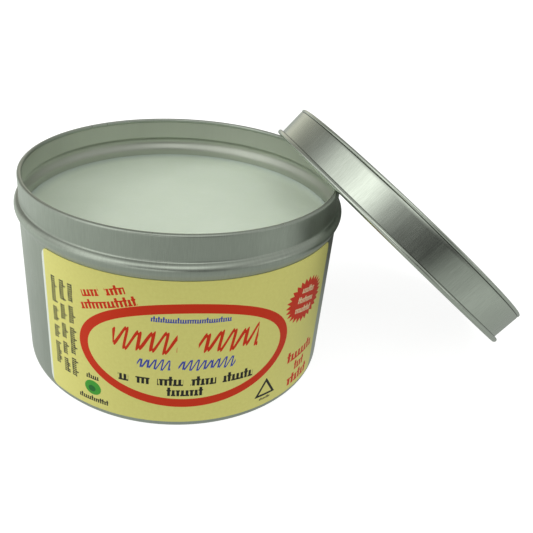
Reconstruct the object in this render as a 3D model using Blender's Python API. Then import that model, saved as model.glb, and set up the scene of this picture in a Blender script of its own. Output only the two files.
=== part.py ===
"""A round deep-drawn metal tin of wax with its slip lid leaning on the rim.

Metres, +Z up.  The origin is where the axis of the tin meets the surface it stands on.
The label faces -Y, and the lid leans towards +X with its open side down on the rim.
"""
import math

import bmesh
import bpy
import numpy as np

# ---- Driving dimensions -------------------------------------------------------------------
SHEET = 0.0003            # thickness of the drawn tinplate
ROUND_STEPS = 60          # facets round each turned piece
ARC_STEPS = 5             # facets in a quarter turn of a small radius
MATING_GAP = 0.0003       # air left between pieces that touch

TIN_HEIGHT = 0.0605
WALL_RADIUS = 0.0492      # outside of the wall
NECK_RADIUS = 0.0488      # outside of the neck, which the lid slips over
BASE_CORNER = 0.0012      # outside radius where the wall meets the base
BEAD_HEIGHT = 0.0508      # middle of the bead
BEAD_HALF_WIDTH = 0.0022
BEAD_DEPTH = 0.0012       # how far the bead stands out of the wall
BEAD_STEPS = 8
RIM_TUBE = 0.0007         # radius of the tight inward curl at the mouth

WAX_LEVEL = 0.0452
WAX_EDGE = 0.0006         # rounding of the wax's upper edge

LABEL_TURN = math.radians(-3.0)    # middle of the label, from -Y towards +X
LABEL_ARC = math.radians(108.4)
LABEL_BOTTOM = 0.0020
LABEL_TOP = 0.0481
LABEL_THICKNESS = 0.0002
LABEL_CORNER = 0.0030
LABEL_STEPS = 30

LID_RADIUS = 0.0496       # outside of the skirt
LID_HEIGHT = 0.0118       # lower side of the hem to the top of the edge bead
HEM_TUBE = 0.0008         # radius of the tight outward curl at the open edge
EDGE_TUBE = 0.0007        # radius of the raised bead round the panel
EDGE_PROUD = 0.0001       # how far that bead stands out of the skirt
PANEL_DROP = 0.0009       # the panel lies this far below the top of the bead
LID_TILT = math.radians(40.95)     # lid's axis from the vertical, towards +X

# ---- Values that follow from them ---------------------------------------------------------
WALL_INSIDE = WALL_RADIUS - SHEET
NECK_INSIDE = NECK_RADIUS - SHEET
RIM_RING = NECK_RADIUS - RIM_TUBE
RIM_RING_HEIGHT = TIN_HEIGHT - RIM_TUBE
SKIRT_INSIDE = LID_RADIUS - SHEET
HEM_RING = SKIRT_INSIDE + HEM_TUBE
LID_TOP = LID_HEIGHT - HEM_TUBE    # above the middle of the hem, where the lid's origin is
EDGE_RING = LID_RADIUS + EDGE_PROUD - EDGE_TUBE
EDGE_RING_HEIGHT = LID_TOP - EDGE_TUBE
PANEL_HEIGHT = LID_TOP - PANEL_DROP
HEM_HEIGHT = HEM_RING * math.sin(LID_TILT) + HEM_TUBE    # so that the hem rests at Z = 0


# ---- Outlines, as (radius, height) points -------------------------------------------------
def arc(centre, radius, start, end, steps):
    """Points round centre from start to end degrees, both included."""
    angles = [math.radians(start + (end - start) * i / steps) for i in range(steps + 1)]
    return [(centre[0] + radius * math.cos(a), centre[1] + radius * math.sin(a)) for a in angles]


def sheet_past_bead(neck, wall):
    """One face of the sheet, from the neck over the outward bead and down to the wall."""
    points = []
    for i in range(BEAD_STEPS + 1):
        down = i / BEAD_STEPS
        swelling = BEAD_DEPTH * (1 - math.cos(2 * math.pi * down)) / 2
        radius = neck + (wall - neck) * down + swelling
        points.append((radius, BEAD_HEIGHT + BEAD_HALF_WIDTH * (1 - 2 * down)))
    return points


def tin_outline():
    """From the middle of the floor, up the inside, over the rim and down the outside."""
    floor_radius = BASE_CORNER - SHEET
    floor_corner = arc((WALL_INSIDE - floor_radius, SHEET + floor_radius), floor_radius,
                       -90, 0, ARC_STEPS)
    inside = sheet_past_bead(NECK_INSIDE, WALL_INSIDE)[::-1]
    curl_start = 360 - math.degrees(math.acos((NECK_INSIDE - RIM_RING) / RIM_TUBE))
    rim = arc((RIM_RING, RIM_RING_HEIGHT), RIM_TUBE, curl_start, 0, 2 * ARC_STEPS)
    outside = sheet_past_bead(NECK_RADIUS, WALL_RADIUS)
    base_corner = arc((WALL_RADIUS - BASE_CORNER, BASE_CORNER), BASE_CORNER, 0, -90, ARC_STEPS)
    return [(0, SHEET)] + floor_corner + inside + rim + outside + base_corner + [(0, 0)]


def lid_outline():
    """From the middle of the panel, over the edge bead, down the skirt, round the hem and
    back up the inside.  Heights are above the middle of the hem."""
    bead_start = 180 + math.degrees(math.asin((EDGE_RING_HEIGHT - PANEL_HEIGHT) / EDGE_TUBE))
    bead_end = -math.degrees(math.acos((LID_RADIUS - EDGE_RING) / EDGE_TUBE))
    edge_bead = arc((EDGE_RING, EDGE_RING_HEIGHT), EDGE_TUBE, bead_start, bead_end,
                    2 * ARC_STEPS)
    hem_start = math.degrees(math.acos((LID_RADIUS - HEM_RING) / HEM_TUBE))
    hem = arc((HEM_RING, 0), HEM_TUBE, hem_start, -180, 2 * ARC_STEPS)
    underside = PANEL_HEIGHT - SHEET
    inside_corner = arc((SKIRT_INSIDE - EDGE_TUBE, underside - EDGE_TUBE), EDGE_TUBE,
                        0, 90, ARC_STEPS)
    return [(0, PANEL_HEIGHT)] + edge_bead + hem + inside_corner + [(0, underside)]


def wax_outline():
    """A plug with a flat top, clear of the floor and of the wall."""
    radius = WALL_INSIDE - MATING_GAP
    floor = SHEET + MATING_GAP
    top = arc((radius - WAX_EDGE, WAX_LEVEL - WAX_EDGE), WAX_EDGE, 90, 0, ARC_STEPS)
    foot = arc((radius - BASE_CORNER, floor + BASE_CORNER), BASE_CORNER, 0, -90, ARC_STEPS)
    return [(0, WAX_LEVEL)] + top + foot + [(0, floor)]


def label_columns():
    """Across the label: each column's angle from its middle, and the height that the
    rounded corners take off it at the top and at the bottom."""
    half = LABEL_ARC / 2
    corner_turn = LABEL_CORNER / WALL_RADIUS
    bends = [math.pi / 2 * i / ARC_STEPS for i in range(ARC_STEPS)]
    left = [(corner_turn * (1 - math.cos(b)) - half, LABEL_CORNER * (1 - math.sin(b)))
            for b in bends]
    middle = [((half - corner_turn) * (2 * i / LABEL_STEPS - 1), 0)
              for i in range(LABEL_STEPS + 1)]
    right = [(-angle, loss) for angle, loss in reversed(left)]
    return left + middle + right


# ---- Making objects -----------------------------------------------------------------------
def clear_scene():
    for item in list(bpy.data.objects):
        bpy.data.objects.remove(item, do_unlink=True)


def material(name, colour, roughness, metallic):
    made = bpy.data.materials.new(name)
    made.use_nodes = True
    shader = made.node_tree.nodes["Principled BSDF"]
    shader.inputs["Base Color"].default_value = (*colour, 1)
    shader.inputs["Roughness"].default_value = roughness
    shader.inputs["Metallic"].default_value = metallic
    return made


def new_object(name, mesh, finish):
    mesh.materials.append(finish)
    item = bpy.data.objects.new(name, mesh)
    bpy.context.collection.objects.link(item)
    return item


def turned(name, outline, finish):
    """An outline turned a full circle about the object's own Z axis."""
    mesh = bpy.data.meshes.new(name)
    points = [(radius, 0, height) for radius, height in outline]
    edges = [(i, i + 1) for i in range(len(outline) - 1)]
    mesh.from_pydata(points, edges, [])
    item = new_object(name, mesh, finish)
    turn = item.modifiers.new("turn", "SCREW")
    turn.axis = "Z"
    turn.angle = 2 * math.pi
    turn.steps = ROUND_STEPS
    turn.render_steps = ROUND_STEPS
    turn.use_merge_vertices = True
    turn.merge_threshold = 0.00001
    turn.use_smooth_shade = True
    return item


def wrapped_label(name, finish):
    """A thin sheet with rounded corners, bent round the wall."""
    inner = WALL_RADIUS + MATING_GAP
    outer = inner + LABEL_THICKNESS
    build = bmesh.new()
    rings = []
    for angle, loss in label_columns():
        turn = LABEL_TURN + angle
        low = LABEL_BOTTOM + loss
        high = LABEL_TOP - loss
        corners = [(outer, low), (outer, high), (inner, high), (inner, low)]
        rings.append([build.verts.new((r * math.sin(turn), -r * math.cos(turn), z))
                      for r, z in corners])
    for ring, following in zip(rings, rings[1:]):
        for i in range(4):
            j = (i + 1) % 4
            build.faces.new((ring[i], following[i], following[j], ring[j]))
    build.faces.new(rings[0])
    build.faces.new(rings[-1][::-1])
    bmesh.ops.recalc_face_normals(build, faces=build.faces)
    mesh = bpy.data.meshes.new(name)
    build.to_mesh(mesh)
    build.free()
    return new_object(name, mesh, finish)


def lean_distance():
    """From the tin's axis to the lid's middle, where the hem just clears the curled rim.

    The hem and the rim are both round tubes, so their gap is the distance between their
    centre circles less both tube radii."""
    turns = np.linspace(0, math.pi, 1441)
    up_slope = HEM_RING * np.cos(turns)
    across = HEM_RING * np.sin(turns)
    heights = HEM_HEIGHT + up_slope * math.sin(LID_TILT)

    def gap(distance):
        outward = np.hypot(distance - up_slope * math.cos(LID_TILT), across)
        centres = np.hypot(outward - RIM_RING, heights - RIM_RING_HEIGHT)
        return centres.min() - HEM_TUBE - RIM_TUBE

    slope_at_rim = (RIM_RING_HEIGHT - HEM_HEIGHT) / math.sin(LID_TILT)
    half_chord = math.sqrt(HEM_RING ** 2 - slope_at_rim ** 2)
    touching = slope_at_rim * math.cos(LID_TILT) + math.sqrt(RIM_RING ** 2 - half_chord ** 2)
    clear = touching + HEM_RING
    for _ in range(40):
        middle = (touching + clear) / 2
        if gap(middle) < MATING_GAP:
            touching = middle
        else:
            clear = middle
    return clear


def main():
    clear_scene()
    tinplate = material("tinplate", (0.42, 0.45, 0.40), 0.35, 1.0)
    lid_plate = material("lid_plate", (0.45, 0.48, 0.43), 0.30, 1.0)
    pale_wax = material("pale_wax", (0.60, 0.66, 0.56), 0.45, 0.0)
    printed_paper = material("printed_paper", (0.60, 0.54, 0.20), 0.55, 0.0)
    turned("tin_body", tin_outline(), tinplate)
    turned("wax", wax_outline(), pale_wax)
    wrapped_label("label", printed_paper)
    lid = turned("lid", lid_outline(), lid_plate)
    lid.location = (lean_distance(), 0, HEM_HEIGHT)
    lid.rotation_euler = (0, LID_TILT, 0)


main()
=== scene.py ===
"""Looks for the round wax tin: fine turned metal, wax, a printed label, studio light and camera.

Metres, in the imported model's frame: the tin's axis is Z, the label faces -Y and the lid
leans towards +X.
"""
import math
from functools import partial

import bpy
import numpy as np
from mathutils import Matrix, Vector, noise


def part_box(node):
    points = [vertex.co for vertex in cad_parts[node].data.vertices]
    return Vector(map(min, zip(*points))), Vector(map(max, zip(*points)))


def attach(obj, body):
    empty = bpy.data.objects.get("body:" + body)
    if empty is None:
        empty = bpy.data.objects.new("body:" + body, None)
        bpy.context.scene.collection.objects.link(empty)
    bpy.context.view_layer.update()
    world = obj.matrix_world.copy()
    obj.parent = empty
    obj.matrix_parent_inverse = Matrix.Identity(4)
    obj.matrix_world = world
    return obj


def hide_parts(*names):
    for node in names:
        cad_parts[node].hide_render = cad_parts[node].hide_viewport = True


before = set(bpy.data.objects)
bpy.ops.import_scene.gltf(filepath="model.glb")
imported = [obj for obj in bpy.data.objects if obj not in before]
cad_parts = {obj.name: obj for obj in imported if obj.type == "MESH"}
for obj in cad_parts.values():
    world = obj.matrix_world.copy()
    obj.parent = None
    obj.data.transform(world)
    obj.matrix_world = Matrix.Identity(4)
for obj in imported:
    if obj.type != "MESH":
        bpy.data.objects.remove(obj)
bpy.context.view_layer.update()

MM = 0.001
SHEET = 0.30 * MM                 # thickness of the tinplate
HALF = SHEET / 2
ROUND_STEPS = 256                 # facets round a turned piece
WAX_STEPS = 160                   # facets round the wax
SHARP = math.radians(34)          # a fold steeper than this shows as a crisp line

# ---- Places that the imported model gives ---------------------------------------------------
tin_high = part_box("tin_body")[1]
lid_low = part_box("lid")[0]
wax_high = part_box("wax")[1]
label_low, label_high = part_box("label")

TIN_HEIGHT = tin_high.z
WALL_RADIUS = 49.2 * MM
NECK_RADIUS = 48.8 * MM
BASE_CORNER = 1.2 * MM
BASE_LIFT = 0.55 * MM             # the middle of the base stands this far up
BASE_PANEL = 43 * MM              # radius of that lifted panel
BASE_RING = 45 * MM               # radius where the base is down on the table
FLAT_SHARE = 0.955                # within this share of the wall radius the grain runs straight
CURL_RINGS = 20                   # outline points in the curl, which aren't marked as inside
RIM_TUBE = 0.7 * MM

BEAD_FOOT = 47.4 * MM             # height where the bead leaves the wall
BEAD_WIDEST = 50.95 * MM          # height where it stands out furthest
BEAD_DEPTH = 1.2 * MM
BEAD_SHOULDER = 1.90 * MM         # radius of its round shoulder
CREASE_FILLET = 0.80 * MM         # radius of the hollow between the shoulder and the neck

LID_RADIUS = 49.6 * MM
LID_TOP = 11.0 * MM               # above the middle of the hem
HEM_TUBE = 0.8 * MM
HEM_RING = LID_RADIUS - SHEET + HEM_TUBE
PANEL_DROP = 0.9 * MM
EDGE_PROUD = 0.1 * MM             # how far the bead round the panel stands out of the skirt
EDGE_INNER = 48.7 * MM            # inner radius of that bead
# painted shade: heights of dark bands along the lid's creases
LID_CREASE_SHADE = ((9.74 * MM, 10.04 * MM), (0.66 * MM, 0.92 * MM))
CREASE_SHADE_REACH = 0.7 * MM           # the painted shade in the creases reaches no further in than this
LID_TILT = math.radians(40.95)
LID_FOOT = Vector((lid_low.x + HEM_TUBE + HEM_RING * math.cos(LID_TILT), 0,
                   HEM_TUBE + HEM_RING * math.sin(LID_TILT)))

WAX_LEVEL = wax_high.z
WAX_RADIUS = WALL_RADIUS - SHEET - 0.03 * MM

LABEL_TURN = math.radians(-3.0)   # middle of the label, from -Y towards +X
LABEL_ARC = math.radians(108.4)
LABEL_CORNER = 3.0 * MM
LABEL_GAP = 0.03 * MM
LABEL_OUTER = WALL_RADIUS + 0.16 * MM
LABEL_REACH = LABEL_OUTER * LABEL_ARC / 2 / MM      # half its width, along the wall

# ---- Studio and camera --------------------------------------------------------------------
# Soft lights in the room: azimuth, elevation and spread in degrees, and radiance.
ROOM_LIGHTS = (
    (180, 8, 17, 0.70),
    (118, 8, 12, 1.00),
    (66, 9, 13, 1.50),
    (100, 44, 12, 0.85),
    (62, 39, 12, 1.60),
    (5, 49, 14, 1.60),
    (-50, 4, 13, 1.10),
    (-96, 0, 13, 0.35),
    (-80, 52, 25, 0.45),
)
# Fill lights that only diffuse surfaces see: name, azimuth, elevation and radiance.
FILL_CARDS = (
    ("side_fill", 112, 24, 4.8),
    ("top_fill", 155, 75, 0.6),
    ("right_fill", -75, 8, 2.4),
)
ROOM_FRONT = 0.055
ROOM_BACK = 0.18
ROOM_TOP = 0.12
ROOM_COLOUR = (0.97, 1.0, 0.95)
BACK_COLOUR = (1.0, 0.99, 0.86)
FILL_AIM = Vector((0.02, 0, 0.03))
FILL_DISTANCE = 0.8
FILL_SIZE = 0.4

STUDIO_RADIUS = 6.0
BACKDROP_FOOT = -0.01
BACKDROP_HEIGHT = 8.0
FLOOR_GREY = 0.3                  # low, so that only a trace of a shadow shows
FLOOR_GLOW = 0.90
BOUNCE_LEFT = -0.32
BOUNCE_RIGHT = -0.06
BOUNCE_FRONT = -0.35
BOUNCE_HEIGHT = 0.11
BOUNCE_GLOW = 1.1

# glow of the table that reflections see, with painted light, a painted shadow under the lid and a painted sheen
TABLE_GLOW = 0.52
TABLE_COLOUR = (0.94, 1.0, 0.93)
TABLE_LEFT = 0.24                 # added to the glow towards the left
TABLE_BACK = 0.27                 # added behind the tin, on the left
TABLE_AHEAD = -0.26               # added towards the viewer, so it is darker there
LID_SHADE = Vector((0.116, 0.050, 0))
LID_SHADE_LEAST = 0.2             # share of the glow that is left at the middle of the shade
SHEEN = Vector((0.125, -0.100, 0))
SHEEN_REACH = 0.06
SHEEN_GLOW = 0.15

LENS = 39.03
SHIFT = (0.12, -0.0629)
CAMERA_PLACE = (-0.0284, -0.1668, 0.1229)
CAMERA_TURNS = (("Z", -12.33), ("X", 62.93), ("Z", 3.15))


# ---- Outlines, as (radius, height) points -------------------------------------------------
def arc(centre, radius, start, end, steps):
    """Points round centre from start to end degrees, both included."""
    angles = [math.radians(start + (end - start) * i / steps) for i in range(steps + 1)]
    return [(centre[0] + radius * math.cos(a), centre[1] + radius * math.sin(a)) for a in angles]


def straight(start, end, steps):
    """Points from start up to but without end."""
    return [(start[0] + (end[0] - start[0]) * i / steps, start[1] + (end[1] - start[1]) * i / steps)
            for i in range(steps)]


def thickened(path):
    """The closed outline of a sheet whose middle follows path, from the axis and back to it."""
    line = np.array(path)
    step = np.diff(line, axis=0)
    step /= np.linalg.norm(step, axis=1)[:, None]
    before = np.vstack([step[:1], step])
    after = np.vstack([step, step[-1:]])
    mean = before + after
    mean /= np.linalg.norm(mean, axis=1)[:, None]
    stretch = np.clip((mean * before).sum(axis=1), 0.5, 1)
    side = np.stack([-mean[:, 1], mean[:, 0]], axis=1) * (HALF / stretch)[:, None]
    upper = line + side
    lower = line - side
    upper[0, 0] = 0
    lower[0, 0] = 0
    return [tuple(p) for p in upper] + [tuple(p) for p in lower[::-1]]


def bead_swell(height):
    """How far the lower flank of the bead stands out of the wall at this height."""
    rise = min(max((height - BEAD_FOOT) / (BEAD_WIDEST - BEAD_FOOT), 0), 1)
    return BEAD_DEPTH * (1 - math.cos(math.pi * rise)) / 2


def tin_path():
    """Middle of the sheet from the centre of the base to the end of the curl at the mouth."""
    wall = WALL_RADIUS - HALF
    neck = NECK_RADIUS - HALF
    corner = BASE_CORNER - HALF
    base = straight((0, BASE_LIFT), (BASE_PANEL, BASE_LIFT), 12)
    base += straight((BASE_PANEL, BASE_LIFT), (BASE_RING, HALF), 3)
    base += straight((BASE_RING, HALF), (wall - corner, HALF), 3)
    foot = arc((wall - corner, BASE_CORNER), corner, -90, 0, 6)
    side = straight((wall, BASE_CORNER + 1 * MM), (wall, BEAD_FOOT), 14)
    flank = [BEAD_FOOT + (BEAD_WIDEST - BEAD_FOOT) * i / 16 for i in range(16)]
    swell = [(wall + bead_swell(height), height) for height in flank]
    hub = wall + BEAD_DEPTH - BEAD_SHOULDER
    fillet_hub = neck + CREASE_FILLET
    fillet_rise = math.sqrt((BEAD_SHOULDER + CREASE_FILLET) ** 2 - (fillet_hub - hub) ** 2)
    meet = math.degrees(math.atan2(fillet_rise, fillet_hub - hub))
    shoulder = arc((hub, BEAD_WIDEST), BEAD_SHOULDER, 0, meet, 12)
    fillet = arc((fillet_hub, BEAD_WIDEST + fillet_rise), CREASE_FILLET, 180 + meet, 180, 6)[1:]
    curl_hub = (NECK_RADIUS - RIM_TUBE, TIN_HEIGHT - RIM_TUBE)
    rise = fillet + straight(fillet[-1], (neck, curl_hub[1]), 6)[1:]
    curl = arc(curl_hub, RIM_TUBE - HALF, 0, 285, 26)
    return base + foot + side + swell + shoulder + rise + curl


def lid_path():
    """Middle of the sheet from the centre of the panel to the end of the outward hem."""
    panel = LID_TOP - PANEL_DROP - HALF
    skirt = LID_RADIUS - HALF
    edge = LID_RADIUS + EDGE_PROUD - HALF
    roll = (edge - EDGE_INNER) / 2
    roll_hub = (edge - roll, LID_TOP - HALF - roll)
    fillet = roll_hub[1] - panel
    flat = straight((0, panel), (EDGE_INNER - fillet, panel), 24)
    flat += arc((EDGE_INNER - fillet, panel + fillet), fillet, -90, 0, 4)
    bead = arc(roll_hub, roll, 180, -55, 22)[1:]
    crease = [(skirt - 0.30 * MM, bead[-1][1] - 0.12 * MM)]
    ease = [(skirt - 0.05 * MM, crease[0][1] - 0.20 * MM), (skirt, crease[0][1] - 0.42 * MM)]
    side = straight((skirt, crease[0][1] - 1.2 * MM), (skirt, 0), 12)
    hem = arc((HEM_RING, 0), HEM_TUBE - HALF, 180, 458, 26)
    return flat + bead + crease + ease + side + hem


def wax_outline():
    """Closed outline of the poured wax, which creeps a little way up the wall."""
    creep = 0.8 * MM
    reach = 4.5 * MM
    top = [(WAX_RADIUS * i / 40, WAX_LEVEL) for i in range(39)]
    top = [p for p in top if p[0] < WAX_RADIUS - reach]
    edge = []
    for i in range(13):
        out = i / 12
        edge.append((WAX_RADIUS - reach * (1 - out), WAX_LEVEL + creep * out ** 3.5))
    side = [(WAX_RADIUS, WAX_LEVEL - 2 * MM), (WAX_RADIUS, 3 * MM)]
    foot = arc((WAX_RADIUS - 1.4 * MM, 2.6 * MM), 1.4 * MM, 0, -90, 5)
    return top + edge + side + foot + [(0, 1.2 * MM)]


# ---- Meshes -------------------------------------------------------------------------------
def add_piece(name, mesh, finish):
    mesh.materials.append(finish)
    mesh.validate()
    mesh.shade_smooth()
    mesh.set_sharp_from_angle(angle=SHARP)
    item = bpy.data.objects.new(name, mesh)
    bpy.context.collection.objects.link(item)
    return item


def keep_vectors(mesh, name, values):
    """Stores a vector at each point, which the materials read."""
    made = mesh.attributes.new(name, "FLOAT_VECTOR", "POINT")
    made.data.foreach_set("vector", np.asarray(values, float).ravel())


def keep_numbers(mesh, name, values):
    made = mesh.attributes.new(name, "FLOAT", "POINT")
    made.data.foreach_set("value", np.asarray(values, float).ravel())


def turned_mesh(name, outline, steps=ROUND_STEPS):
    """An outline that starts and ends on the axis, turned a full circle about Z."""
    turns = [2 * math.pi * i / steps for i in range(steps)]
    points = []
    rings = []
    for radius, height in outline:
        first = len(points)
        if radius < 1e-7:
            points.append((0, 0, height))
            rings.append([first] * steps)
        else:
            points += [(radius * math.cos(t), radius * math.sin(t), height) for t in turns]
            rings.append(list(range(first, first + steps)))
    area = sum(a[0] * b[1] - b[0] * a[1] for a, b in zip(outline, outline[1:] + outline[:1]))
    faces = []
    for lower, upper in zip(rings, rings[1:]):
        for i in range(steps):
            j = (i + 1) % steps
            loop = [lower[i], lower[j], upper[j], upper[i]]
            face = [v for k, v in enumerate(loop) if v != loop[k - 1]]
            faces.append(face if area > 0 else face[::-1])
    mesh = bpy.data.meshes.new(name)
    mesh.from_pydata(points, [], faces)
    mesh.update()
    keep_vectors(mesh, "turned", points)
    return mesh


def metal_mesh(name, path):
    """A turned sheet. Its flat parts are marked, because their grain runs straight."""
    outline = thickened(path)
    mesh = turned_mesh(name, outline)
    flat = [1.0 if math.hypot(v.co.x, v.co.y) < FLAT_SHARE * WALL_RADIUS else 0.0
            for v in mesh.vertices]
    keep_numbers(mesh, "flat", flat)
    return mesh


def mark_inside(mesh, steps=ROUND_STEPS):
    """1 on the inner face of a turned sheet, whose outline starts with that face, as far as
    the curl at its mouth."""
    count = len(mesh.vertices)
    keep_numbers(mesh, "inside", [1.0 if i < count / 2 - CURL_RINGS * steps else 0.0
                                  for i in range(count)])
    return mesh


def wax_mesh():
    """The wax, with the soft swells that its surface set with."""
    mesh = turned_mesh("wax_fill", wax_outline(), WAX_STEPS)
    for vertex in mesh.vertices:
        if vertex.co.z > WAX_LEVEL - 0.1 * MM:
            out = math.hypot(vertex.co.x, vertex.co.y) / WAX_RADIUS
            place = Vector((vertex.co.x, vertex.co.y, 0)) / (14 * MM)
            finer = Vector((vertex.co.x, vertex.co.y, 20 * MM)) / (5 * MM)
            swell = 0.16 * noise.noise(place) + 0.04 * noise.noise(finer)
            dish = -0.25 * (1 - out ** 2)
            vertex.co.z += (swell * (1 - out ** 8) + dish) * MM
    return mesh


def label_mesh():
    """A slim sheet with rounded corners round the wall; its print is placed in millimetres, from the label's
    middle and up from the table."""
    half = LABEL_ARC / 2
    corner = LABEL_CORNER / LABEL_OUTER
    bends = [math.pi / 2 * i / 10 for i in range(10)]
    left = [(corner * (1 - math.cos(b)) - half, LABEL_CORNER * (1 - math.sin(b))) for b in bends]
    middle = [((half - corner) * (2 * i / 96 - 1), 0) for i in range(97)]
    columns = left + middle + [(-a, loss) for a, loss in reversed(left)]
    rows = 16
    points = []
    prints = []
    for radius in (LABEL_OUTER, WALL_RADIUS + LABEL_GAP):
        for angle, loss in columns:
            low = label_low.z + loss
            high = label_high.z - loss
            for k in range(rows + 1):
                height = low + (high - low) * k / rows
                turn = LABEL_TURN + angle
                out = radius + bead_swell(height)
                points.append((out * math.sin(turn), -out * math.cos(turn), height))
                prints.append((LABEL_OUTER * angle / MM, height / MM, 0))
    tall = rows + 1
    wide = len(columns)
    back = tall * wide
    faces = []
    for c in range(wide - 1):
        for k in range(rows):
            a = c * tall + k
            b = a + tall
            faces.append((a, b, b + 1, a + 1))
            faces.append((back + a, back + a + 1, back + b + 1, back + b))
        for k, flip in ((0, False), (rows, True)):
            a = c * tall + k
            rim = (a, back + a, back + a + tall, a + tall)
            faces.append(rim[::-1] if flip else rim)
    for c, flip in ((0, True), (wide - 1, False)):
        for k in range(rows):
            a = c * tall + k
            rim = (a, back + a, back + a + 1, a + 1)
            faces.append(rim[::-1] if flip else rim)
    mesh = bpy.data.meshes.new("label_sheet")
    mesh.from_pydata(points, [], faces)
    mesh.update()
    keep_vectors(mesh, "print_mm", prints)
    return mesh


# ---- Node building ------------------------------------------------------------------------
def feed_socket(tree, target, value):
    """Links value if it is a socket, and otherwise sets it on the target."""
    if isinstance(value, bpy.types.NodeSocket):
        tree.links.new(value, target)
    else:
        target.default_value = value


def add_node(tree, kind, inputs=(), **settings):
    node = tree.nodes.new(kind)
    for key, value in settings.items():
        setattr(node, key, value)
    for key, value in dict(inputs).items():
        feed_socket(tree, node.inputs[key], value)
    return node


class Nodes:
    """A material whose nodes are added with short calls. A value may be a number or a socket."""

    def __init__(self, name):
        self.material = bpy.data.materials.new(name)
        self.material.use_nodes = True
        self.tree = self.material.node_tree
        self.shader = self.tree.nodes["Principled BSDF"]

    def add(self, kind, inputs=(), **settings):
        return add_node(self.tree, kind, inputs, **settings)

    def feed(self, target, value):
        feed_socket(self.tree, target, value)

    def math(self, operation, *values):
        return self.add("ShaderNodeMath", enumerate(values), operation=operation).outputs[0]

    def vector(self, operation, *values):
        return self.add("ShaderNodeVectorMath", enumerate(values), operation=operation).outputs[0]

    def length(self, x, y):
        """Length of the flat vector (x, y)."""
        made = self.add("ShaderNodeVectorMath", {0: self.join(x, y, 0.0)}, operation="LENGTH")
        return made.outputs["Value"]

    def join(self, x, y, z):
        return self.add("ShaderNodeCombineXYZ", {0: x, 1: y, 2: z}).outputs[0]

    def split(self, vector):
        return self.add("ShaderNodeSeparateXYZ", {0: vector}).outputs[:3]

    def read(self, name, output="Vector"):
        return self.add("ShaderNodeAttribute", attribute_name=name).outputs[output]

    def noise(self, vector, scale, detail=2.0, roughness=0.5):
        made = self.add("ShaderNodeTexNoise",
                        {"Vector": vector, "Scale": scale, "Detail": detail, "Roughness": roughness})
        return made.outputs["Fac"]

    def spread(self, value, low, high, to_low, to_high):
        """value from low..high to to_low..to_high, held at the ends."""
        made = self.add("ShaderNodeMapRange",
                        {"Value": value, "From Min": low, "From Max": high,
                         "To Min": to_low, "To Max": to_high})
        return made.outputs["Result"]

    def mix(self, share, first, second, blend="MIX"):
        made = self.add("ShaderNodeMix", {0: share, 6: first, 7: second},
                        data_type="RGBA", blend_type=blend)
        return made.outputs[2]

    def bump(self, height, distance, strength=1.0, normal=None):
        inputs = {"Height": height, "Distance": distance, "Strength": strength}
        if normal is not None:
            inputs["Normal"] = normal
        return self.add("ShaderNodeBump", inputs).outputs[0]


def rgb(red, green, blue):
    return (red, green, blue, 1.0)


# ---- Materials ----------------------------------------------------------------------------
def tinplate(name, colour, rough, creases=()):
    """Satin tinplate. Drawing it has left a grain along the wall, and straight across the flats; handling has left
    duller smudges. creases are bands of height where a dark colour is painted on as shade."""
    n = Nodes(name)
    place = n.read("turned")
    flat = n.read("flat", "Fac")
    x, y, z = n.split(place)
    radius = n.math("MAXIMUM", n.length(x, y), 0.001)
    round_x = n.math("DIVIDE", x, radius)
    round_y = n.math("DIVIDE", y, radius)
    drawn = n.join(n.math("MULTIPLY", round_x, 260.0), n.math("MULTIPLY", round_y, 260.0),
                   n.math("MULTIPLY", z, 260.0))
    rolled = n.join(n.math("MULTIPLY", x, 60.0), n.math("MULTIPLY", y, 3000.0), z)
    along = n.mix(flat, drawn, rolled)
    grain = n.noise(along, 1.0, 3.0, 0.6)
    coarse = n.noise(along, 0.22, 2.0, 0.5)
    smudge = n.noise(place, 55.0, 3.0, 0.55)
    cloud = n.noise(n.vector("ADD", place, (0.3, 0.1, 0.2)), 22.0, 2.0, 0.5)

    tone = n.math("ADD", n.spread(grain, 0.3, 0.7, -0.05, 0.05),
                  n.spread(cloud, 0.3, 0.7, -0.03, 0.03))
    inside = n.read("inside", "Fac")
    darker = rgb(*(c * 0.88 for c in colour))
    brighter = rgb(*(c * 1.12 for c in colour))
    share = n.spread(tone, -0.08, 0.08, 0.0, 1.0)
    plate = n.mix(share, darker, brighter)
    # painted shade: the crease bands near the lid's edge are darkened
    for low, high in creases:
        line = n.math("COMPARE", z, (low + high) / 2, (high - low) / 2)
        outer = n.math("GREATER_THAN", radius, LID_RADIUS - CREASE_SHADE_REACH)
        crease_shade = n.math("MULTIPLY", n.math("MULTIPLY", line, outer), 0.8)
        plate = n.mix(crease_shade, plate, rgb(0.10, 0.11, 0.095))
    # painted light: the inner face of a turned sheet gets a lighter colour than its outer face
    n.feed(n.shader.inputs["Base Color"], n.mix(inside, plate, rgb(0.53, 0.55, 0.495)))

    uneven = n.math("ADD", n.spread(smudge, 0.35, 0.7, -0.03, 0.06),
                    n.spread(coarse, 0.3, 0.7, -0.03, 0.03))
    waxy = n.math("MULTIPLY_ADD", inside, 0.12, rough)
    n.feed(n.shader.inputs["Roughness"], n.math("ADD", waxy, uneven))

    fine = n.bump(grain, 0.0022 * MM, 1.0)
    wide = n.bump(coarse, 0.003 * MM, 1.0, fine)
    n.feed(n.shader.inputs["Normal"], wide)
    n.shader.inputs["Metallic"].default_value = 1.0
    n.shader.inputs["Anisotropic"].default_value = 0.25
    spin = n.add("ShaderNodeTangent", direction_type="RADIAL", axis="Z")
    n.feed(n.shader.inputs["Tangent"], spin.outputs[0])
    return n.material


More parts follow.
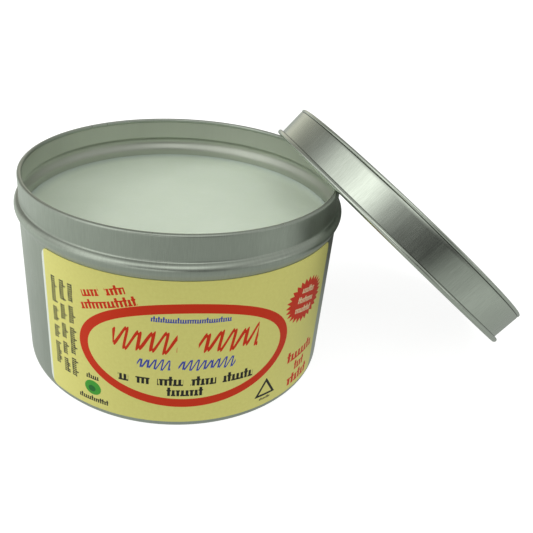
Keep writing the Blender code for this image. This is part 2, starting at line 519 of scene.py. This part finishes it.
def poured_wax():
    """Pale, slightly greenish hard wax with faint clouding and a fine skin, and painted shade where it meets the
    wall.
    """
    n = Nodes("poured_wax")
    place = n.read("turned")
    cloud = n.noise(place, 70.0, 4.0, 0.6)
    fleck = n.noise(place, 900.0, 2.0, 0.5)
    clouded = n.spread(cloud, 0.3, 0.7, 0.0, 1.0)
    tone = n.mix(clouded, rgb(0.72, 0.805, 0.675), rgb(0.76, 0.84, 0.715))
    tone = n.mix(n.spread(fleck, 0.62, 0.75, 0.0, 0.25), tone, rgb(0.86, 0.90, 0.84))
    x, y, _ = n.split(place)
    # painted shade: the wax darkens over the last 4 mm towards the wall
    wall_shade = n.spread(n.length(x, y), WAX_RADIUS - 4 * MM, WAX_RADIUS, 0.0, 1.0)
    tone = n.mix(n.math("POWER", wall_shade, 2.0), tone, rgb(0.46, 0.53, 0.48))
    n.feed(n.shader.inputs["Base Color"], tone)
    n.feed(n.shader.inputs["Roughness"], n.spread(cloud, 0.3, 0.7, 0.42, 0.55))
    skin = n.bump(n.noise(place, 260.0, 3.0, 0.5), 0.05 * MM)
    n.feed(n.shader.inputs["Normal"], skin)
    n.shader.inputs["Subsurface Weight"].default_value = 0.25
    n.shader.inputs["Subsurface Radius"].default_value = (1.0, 1.0, 0.8)
    n.shader.inputs["Subsurface Scale"].default_value = 1.5 * MM
    return n.material


class Print:
    """Masks for the flat shapes that are printed on the label, in millimetres."""

    def __init__(self, nodes):
        self.n = nodes
        self.u, self.v, _ = nodes.split(nodes.read("print_mm"))

    def local(self, centre, degrees=0.0):
        """Coordinates along and across a line through centre."""
        n = self.n
        du = n.math("SUBTRACT", self.u, centre[0])
        dv = n.math("SUBTRACT", self.v, centre[1])
        if not degrees:
            return du, dv
        turn = math.radians(degrees)
        along = n.math("MULTIPLY_ADD", du, math.cos(turn), n.math("MULTIPLY", dv, math.sin(turn)))
        across = n.math("MULTIPLY_ADD", dv, math.cos(turn), n.math("MULTIPLY", du, -math.sin(turn)))
        return along, across

    def ellipse(self, centre, wide, tall):
        """Distance from centre, where 1 is on the ellipse."""
        n = self.n
        du, dv = self.local(centre)
        return n.length(n.math("DIVIDE", du, wide), n.math("DIVIDE", dv, tall))

    def any_of(self, *masks):
        total = masks[0]
        for mask in masks[1:]:
            total = self.n.math("MAXIMUM", total, mask)
        return total

    def both(self, first, second):
        return self.n.math("MULTIPLY", first, second)

    def words(self, along, spans):
        """1 where along lies in one of the spans, each (start, end)."""
        low = spans[0][0] - 1
        high = spans[-1][1] + 1
        share = self.n.spread(along, low, high, 0.0, 1.0)
        ramp = self.n.add("ShaderNodeValToRGB", {0: share})
        ramp.color_ramp.interpolation = "CONSTANT"
        stops = ramp.color_ramp.elements
        stops[0].color = rgb(0, 0, 0)
        stops[1].position = (spans[0][0] - low) / (high - low)
        stops[1].color = rgb(1, 1, 1)
        for i, (start, end) in enumerate(spans):
            if i:
                made = stops.new((start - low) / (high - low))
                made.color = rgb(1, 1, 1)
            made = stops.new((end - low) / (high - low))
            made.color = rgb(0, 0, 0)
        return ramp.outputs[0]

    def strokes(self, centre, degrees, tall, pitch, spans, seed):
        """A line of plain upright strokes of two heights, each with a short bar high or low,
        which stands in for a line of print."""
        n = self.n
        along, across = self.local(centre, degrees)
        cell = n.math("DIVIDE", along, pitch)
        number = n.math("ADD", n.math("FLOOR", cell), seed)
        chance = n.add("ShaderNodeTexWhiteNoise", {"W": number},
                       noise_dimensions="1D").outputs["Value"]
        top = n.math("MULTIPLY_ADD", n.math("GREATER_THAN", chance, 0.7), 0.30 * tall, 0.20 * tall)
        upright = n.math("COMPARE", n.math("FRACT", cell), 0.5, 0.31)
        is_high = n.math("GREATER_THAN", chance, 0.45)
        level = n.math("MULTIPLY_ADD", is_high, 0.56 * tall, -0.42 * tall)
        bar = n.math("COMPARE", across, level, 0.085 * tall)
        shape = self.any_of(upright, bar)
        inside = self.both(n.math("LESS_THAN", across, top),
                           n.math("GREATER_THAN", across, -0.5 * tall))
        return self.both(self.both(shape, inside), self.words(along, spans))

    def wave(self, centre, degrees, swing, length, pen, spans, lean=0.35):
        """An even pen wave, which stands in for handwriting."""
        n = self.n
        along, across = self.local(centre, degrees)
        slanted = n.math("MULTIPLY_ADD", across, -lean, along)
        phase = n.math("MULTIPLY", slanted, 2 * math.pi / length)
        swell = n.math("MULTIPLY_ADD", n.math("SINE", n.math("MULTIPLY", along, 0.71)),
                       0.22 * swing, 0.78 * swing)
        line = n.math("MULTIPLY", n.math("SINE", phase), swell)
        off = n.math("ABSOLUTE", n.math("SUBTRACT", across, line))
        steep = n.math("MULTIPLY", n.math("COSINE", phase), 2 * math.pi * swing / length)
        away = n.math("DIVIDE", off, n.math("SQRT", n.math("MULTIPLY_ADD", steep, steep, 1.0)))
        return self.both(n.math("LESS_THAN", away, pen / 2), self.words(along, spans))

    def burst(self, centre, wide, tall, points, depth):
        """A round seal with an even saw-tooth edge."""
        n = self.n
        du, dv = self.local(centre)
        x = n.math("DIVIDE", du, wide)
        y = n.math("DIVIDE", dv, tall)
        turn = n.math("ARCTAN2", y, x)
        tooth = n.math("PINGPONG", n.math("MULTIPLY", turn, points / (2 * math.pi)), 0.5)
        edge = n.math("MULTIPLY_ADD", tooth, -2 * depth, 1.0)
        return n.math("LESS_THAN", n.length(x, y), edge)

    def triangle(self, centre, size, line):
        """The outline of a plain triangle that stands on one side."""
        n = self.n
        du, dv = self.local(centre)
        slope = n.math("MULTIPLY_ADD", n.math("ABSOLUTE", du), 0.866, n.math("MULTIPLY", dv, 0.5))
        reach = n.math("MAXIMUM", slope, n.math("MULTIPLY", dv, -1.0))
        return n.math("COMPARE", reach, size, line / 2)


def printed_label():
    """A yellow satin label. Its print is an oval band, a seal, a disc and a triangle, with
    plain strokes and pen waves where the real label has words."""
    n = Nodes("printed_label")
    p = Print(n)
    red = p.any_of(
        p.both(n.math("LESS_THAN", p.ellipse((-2.3, 24.5), 30.6, 17.0), 1.0),
               n.math("GREATER_THAN", p.ellipse((-2.3, 24.5), 27.8, 14.15), 1.0)),
        p.wave((-2.6, 29.2), 0, 3.1, 3.6, 0.85, [(-20.0, -2.6), (3.0, 20.0)]),
        p.strokes((-25.3, 42.2), 18, 2.8, 1.2, [(-6.6, -1.0), (0.9, 6.6)], 3.0),
        p.strokes((-23.9, 38.8), 18, 2.8, 1.2, [(-8.5, 8.5)], 11.0),
        p.strokes((37.0, 14.8), 0, 3.8, 1.7, [(-6.8, 6.8)], 23.0),
        p.strokes((37.0, 10.2), 0, 3.4, 1.3, [(-2.6, 2.6)], 5.0),
        p.strokes((37.0, 5.6), 0, 3.8, 1.8, [(-5.4, 5.4)], 17.0),
        p.burst((35.2, 33.6), 8.8, 7.2, 26, 0.2),
    )
    pale = p.any_of(
        p.strokes((36.2, 36.7), -12, 2.0, 0.8, [(-3.2, 3.2)], 2.0),
        p.strokes((35.4, 33.7), -12, 2.0, 0.8, [(-4.0, 4.0)], 7.0),
        p.strokes((34.6, 30.7), -12, 2.0, 0.8, [(-4.0, 4.0)], 13.0),
    )
    blue = p.any_of(
        p.strokes((-1.6, 36.4), -1, 1.7, 0.62, [(-10.5, 10.5)], 31.0),
        p.wave((-2.2, 22.0), 0, 1.6, 1.9, 0.42, [(-13.5, -4.6), (-2.4, 13.2)]),
    )
    black = p.any_of(
        p.strokes((-2.2, 16.6), 0, 3.2, 1.25,
                  [(-19.0, -16.0), (-14.0, -10.0), (-8.0, -1.0), (1.0, 8.0), (10.0, 19.0)], 41.0),
        p.strokes((-2.6, 12.9), 0, 3.0, 1.25, [(-5.0, 5.0)], 47.0),
        p.strokes((-35.2, 25.6), -90, 2.3, 0.7,
                  [(-15.4, -9.8), (-8.4, -2.8), (-1.4, 7.7), (9.1, 15.4)], 51.0),
        p.strokes((-38.4, 25.6), -90, 2.3, 0.7,
                  [(-15.4, -9.1), (-7.7, -2.8), (-1.4, 3.5), (4.9, 9.1), (10.5, 15.4)], 57.0),
        p.strokes((-41.8, 25.6), -90, 2.3, 0.7,
                  [(-15.4, -7.0), (-5.6, -0.7), (0.7, 4.9), (6.3, 14.0)], 61.0),
        p.strokes((-29.2, 12.9), 0, 1.8, 0.7, [(-2.1, 2.1)], 67.0),
        p.strokes((-29.2, 4.9), 0, 1.8, 0.7, [(-4.9, 4.9)], 71.0),
        p.triangle((22.3, 7.6), 1.75, 0.75),
        p.strokes((22.3, 4.5), 0, 0.9, 0.5, [(-2.0, 2.0)], 73.0),
    )
    green = n.math("LESS_THAN", p.ellipse((-29.2, 8.9), 2.7, 2.5), 1.0)
    heart = n.math("LESS_THAN", p.ellipse((-29.5, 8.5), 1.2, 1.1), 1.0)
    bare = n.math("LESS_THAN", p.u, 1.0 - LABEL_REACH)

    fibre = n.noise(n.read("print_mm"), 1.1, 4.0, 0.6)
    mottled = n.spread(fibre, 0.3, 0.7, 0.0, 1.0)
    ground = n.mix(mottled, rgb(0.76, 0.70, 0.215), rgb(0.80, 0.745, 0.24))
    ink = n.mix(red, ground, rgb(0.66, 0.030, 0.004))
    ink = n.mix(pale, ink, rgb(0.86, 0.70, 0.42))
    ink = n.mix(blue, ink, rgb(0.05, 0.075, 0.42))
    ink = n.mix(black, ink, rgb(0.020, 0.020, 0.018))
    ink = n.mix(green, ink, rgb(0.06, 0.36, 0.04))
    ink = n.mix(heart, ink, rgb(0.02, 0.16, 0.03))
    ink = n.mix(bare, ink, rgb(0.80, 0.84, 0.80))
    n.feed(n.shader.inputs["Base Color"], ink)
    n.feed(n.shader.inputs["Roughness"], n.spread(fibre, 0.3, 0.7, 0.40, 0.52))
    press = n.bump(n.noise(n.read("print_mm"), 6.0, 3.0, 0.6), 0.01 * MM)
    n.feed(n.shader.inputs["Normal"], n.bump(fibre, 0.03 * MM, 1.0, press))
    n.shader.inputs["Specular IOR Level"].default_value = 0.2
    return n.material


# ---- The object ---------------------------------------------------------------------------
def build_object():
    tin_finish = tinplate("tinplate_satin", (0.375, 0.405, 0.36), 0.33)
    lid_finish = tinplate("lid_plate_satin", (0.50, 0.53, 0.48), 0.21, LID_CREASE_SHADE)

    tin = add_piece("tin_shell", mark_inside(metal_mesh("tin_shell", tin_path())), tin_finish)
    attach(tin, "tin")
    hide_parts("tin_body")

    wax = add_piece("wax_fill", wax_mesh(), poured_wax())
    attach(wax, "tin")
    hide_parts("wax")

    label = add_piece("label_sheet", label_mesh(), printed_label())
    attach(label, "tin")
    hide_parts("label")

    lid = add_piece("lid_shell", metal_mesh("lid_shell", lid_path()), lid_finish)
    lid.location = LID_FOOT
    lid.rotation_euler = (0, LID_TILT, 0)
    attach(lid, "lid")
    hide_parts("lid")


# ---- Studio -------------------------------------------------------------------------------
def glow(name, colour, strength):
    made = bpy.data.materials.new(name)
    made.use_nodes = True
    tree = made.node_tree
    tree.nodes.clear()
    light = tree.nodes.new("ShaderNodeEmission")
    light.inputs[0].default_value = (*colour, 1)
    light.inputs[1].default_value = strength
    out = tree.nodes.new("ShaderNodeOutputMaterial")
    tree.links.new(light.outputs[0], out.inputs[0])
    return made


def white_floor():
    """Bright white, with only a trace of the shadows that fall on it."""
    made = bpy.data.materials.new("studio_white")
    made.use_nodes = True
    shader = made.node_tree.nodes["Principled BSDF"]
    shader.inputs["Base Color"].default_value = rgb(FLOOR_GREY, FLOOR_GREY, FLOOR_GREY)
    shader.inputs["Roughness"].default_value = 1.0
    shader.inputs["Specular IOR Level"].default_value = 0.0
    shader.inputs["Emission Color"].default_value = (1, 1, 1, 1)
    shader.inputs["Emission Strength"].default_value = FLOOR_GLOW
    return made


def staged(name, points, faces, finish):
    """A piece of the studio, which isn't part of the object."""
    mesh = bpy.data.meshes.new(name)
    mesh.from_pydata(points, [], faces)
    mesh.materials.append(finish)
    item = bpy.data.objects.new(name, mesh)
    bpy.context.collection.objects.link(item)
    return item


def ring(radius, height, steps):
    turns = [2 * math.pi * i / steps for i in range(steps)]
    return [(radius * math.cos(t), radius * math.sin(t), height) for t in turns]


def disc(name, height, finish):
    return staged(name, ring(STUDIO_RADIUS, height, 96), [tuple(range(96))], finish)


def fill_light(name, azimuth, elevation, radiance):
    """A flat soft light that faces the object and isn't seen in reflections."""
    light = bpy.data.lights.new(name, "AREA")
    light.shape = "RECTANGLE"
    light.size = FILL_SIZE
    light.size_y = FILL_SIZE
    light.energy = radiance * math.pi * FILL_SIZE * FILL_SIZE
    item = bpy.data.objects.new(name, light)
    outward = FILL_DISTANCE * heading(azimuth, elevation)
    item.location = FILL_AIM + outward
    item.rotation_euler = (-outward).to_track_quat("-Z", "Y").to_euler()
    item.visible_glossy = False
    bpy.context.collection.objects.link(item)


def heading(azimuth, elevation):
    """Unit direction: azimuth in degrees from -Y towards -X, elevation above the table."""
    a = math.radians(azimuth)
    e = math.radians(elevation)
    return Vector((-math.sin(a) * math.cos(e), -math.cos(a) * math.cos(e), math.sin(e)))


def surroundings():
    """A soft room: dim in front, brighter behind and overhead, with soft lights all round."""
    world = bpy.data.worlds.new("soft_room")
    bpy.context.scene.world = world
    world.use_nodes = True
    tree = world.node_tree
    tree.nodes.clear()
    add = partial(add_node, tree)

    way = add("ShaderNodeTexCoord").outputs["Generated"]
    parts = add("ShaderNodeSeparateXYZ", {0: way})
    level = add("ShaderNodeMapRange", {0: parts.outputs[1], 1: -0.8, 2: 0.2, 3: ROOM_FRONT,
                                       4: ROOM_BACK}, interpolation_type="SMOOTHSTEP").outputs[0]
    level = add("ShaderNodeMath", {0: parts.outputs[2], 1: ROOM_TOP, 2: level},
                operation="MULTIPLY_ADD").outputs[0]
    for azimuth, elevation, spread, radiance in ROOM_LIGHTS:
        near = add("ShaderNodeVectorMath", {0: way, 1: heading(azimuth, elevation)},
                   operation="DOT_PRODUCT").outputs["Value"]
        tight = 1 / math.radians(spread) ** 2
        fall = add("ShaderNodeMath", {0: near, 1: tight, 2: -tight}, operation="MULTIPLY_ADD")
        fall = add("ShaderNodeMath", {0: fall.outputs[0]}, operation="EXPONENT")
        level = add("ShaderNodeMath", {0: fall.outputs[0], 1: radiance, 2: level},
                    operation="MULTIPLY_ADD").outputs[0]
    behind = add("ShaderNodeMapRange", {0: parts.outputs[1], 1: 0.5, 2: 0.95, 3: 0.0,
                                        4: 1.0}).outputs[0]
    tint = add("ShaderNodeMix", {0: behind, 6: (*ROOM_COLOUR, 1), 7: (*BACK_COLOUR, 1)},
               data_type="RGBA").outputs[2]
    ground = add("ShaderNodeBackground", {0: tint, 1: level})
    add("ShaderNodeOutputWorld", {0: ground.outputs[0]})


def table_painted_glow():
    """What reflections and diffuse light see of the table: a glow with painted light, brighter on the left and
    behind, darker towards the viewer, a painted shadow under the lid and a painted sheen in front on the right."""
    made = bpy.data.materials.new("table_painted_glow")
    made.use_nodes = True
    tree = made.node_tree
    tree.nodes.clear()
    add = partial(add_node, tree)

    place = add("ShaderNodeTexCoord").outputs["Object"]
    parts = add("ShaderNodeSeparateXYZ", {0: place})

    def span(axis, low, high, at_low, at_high):
        return add("ShaderNodeMapRange", {0: parts.outputs[axis], 1: low, 2: high, 3: at_low,
                                          4: at_high}).outputs[0]

    def both(operation, first, second):
        return add("ShaderNodeMath", {0: first, 1: second}, operation=operation).outputs[0]

    left = span(0, -0.05, -0.25, 0.0, TABLE_LEFT)
    back = both("MULTIPLY", span(1, -0.144, 0.06, 0.0, TABLE_BACK),
                span(0, 0.04, -0.04, 0.0, 1.0))
    ahead = span(1, -0.20, -0.60, 0.0, TABLE_AHEAD)
    level = both("ADD", both("ADD", both("ADD", left, back), ahead), TABLE_GLOW)
    # painted shadow under the lid
    off = add("ShaderNodeVectorMath", {0: place, 1: LID_SHADE}, operation="DISTANCE")
    under_lid = add("ShaderNodeMapRange", {0: off.outputs["Value"], 1: 0.01, 2: 0.115,
                                           3: LID_SHADE_LEAST, 4: 1.0}, interpolation_type="SMOOTHSTEP").outputs[0]
    level = both("MULTIPLY", level, under_lid)
    # painted sheen in front on the right
    near = add("ShaderNodeVectorMath", {0: place, 1: SHEEN}, operation="DISTANCE")
    sheen = add("ShaderNodeMapRange", {0: near.outputs["Value"], 1: 0.0, 2: SHEEN_REACH,
                                       3: SHEEN_GLOW, 4: 0.0}, interpolation_type="SMOOTHSTEP").outputs[0]
    level = both("ADD", level, sheen)
    light = add("ShaderNodeEmission", {0: (*TABLE_COLOUR, 1), 1: level})
    add("ShaderNodeOutputMaterial", {0: light.outputs[0]})
    return made


def backdrop_wall():
    """A white wall all round."""
    low = ring(STUDIO_RADIUS, BACKDROP_FOOT, 64)
    high = ring(STUDIO_RADIUS, BACKDROP_HEIGHT, 64)
    faces = [(i, (i + 1) % 64, 64 + (i + 1) % 64, 64 + i) for i in range(64)]
    return staged("studio_backdrop", low + high, faces, glow("backdrop_white", (1, 1, 1), 1.0))


def bounce_card():
    """An upright pale card in front on the left."""
    corners = [(BOUNCE_LEFT, BOUNCE_FRONT, 0), (BOUNCE_RIGHT, BOUNCE_FRONT, 0),
               (BOUNCE_RIGHT, BOUNCE_FRONT, BOUNCE_HEIGHT),
               (BOUNCE_LEFT, BOUNCE_FRONT, BOUNCE_HEIGHT)]
    pale = glow("bounce_pale", ROOM_COLOUR, BOUNCE_GLOW)
    return staged("bounce_card", corners, [(0, 1, 2, 3)], pale)


def build_studio():
    """Floor and backdrop are for the camera only, the bounce card for reflections only, and the glowing table with
    its painted light and shade for everything except the camera."""
    surroundings()
    floor = disc("studio_floor", 0.0, white_floor())
    floor.visible_glossy = False
    floor.visible_diffuse = False

    table = disc("table_reflected", -0.4 * MM, table_painted_glow())
    table.visible_camera = False
    table.visible_shadow = False

    backdrop = backdrop_wall()
    backdrop.visible_glossy = False
    backdrop.visible_diffuse = False
    backdrop.visible_shadow = False

    bounce = bounce_card()
    bounce.visible_camera = False
    bounce.visible_diffuse = False
    bounce.visible_shadow = False

    for settings in FILL_CARDS:
        fill_light(*settings)


def build_camera():
    data = bpy.data.cameras.new("camera")
    data.sensor_width = 36
    data.lens = LENS
    data.shift_x, data.shift_y = SHIFT
    data.clip_start = 0.01
    data.clip_end = 50
    item = bpy.data.objects.new("camera", data)
    turn = Matrix()
    for axis, degrees in CAMERA_TURNS:
        turn = turn @ Matrix.Rotation(math.radians(degrees), 4, axis)
    item.matrix_world = Matrix.Translation(CAMERA_PLACE) @ turn
    bpy.context.collection.objects.link(item)
    bpy.context.scene.camera = item


bpy.context.scene.view_settings.view_transform = "Standard"
build_object()
build_studio()
build_camera()

bpy.context.view_layer.update()
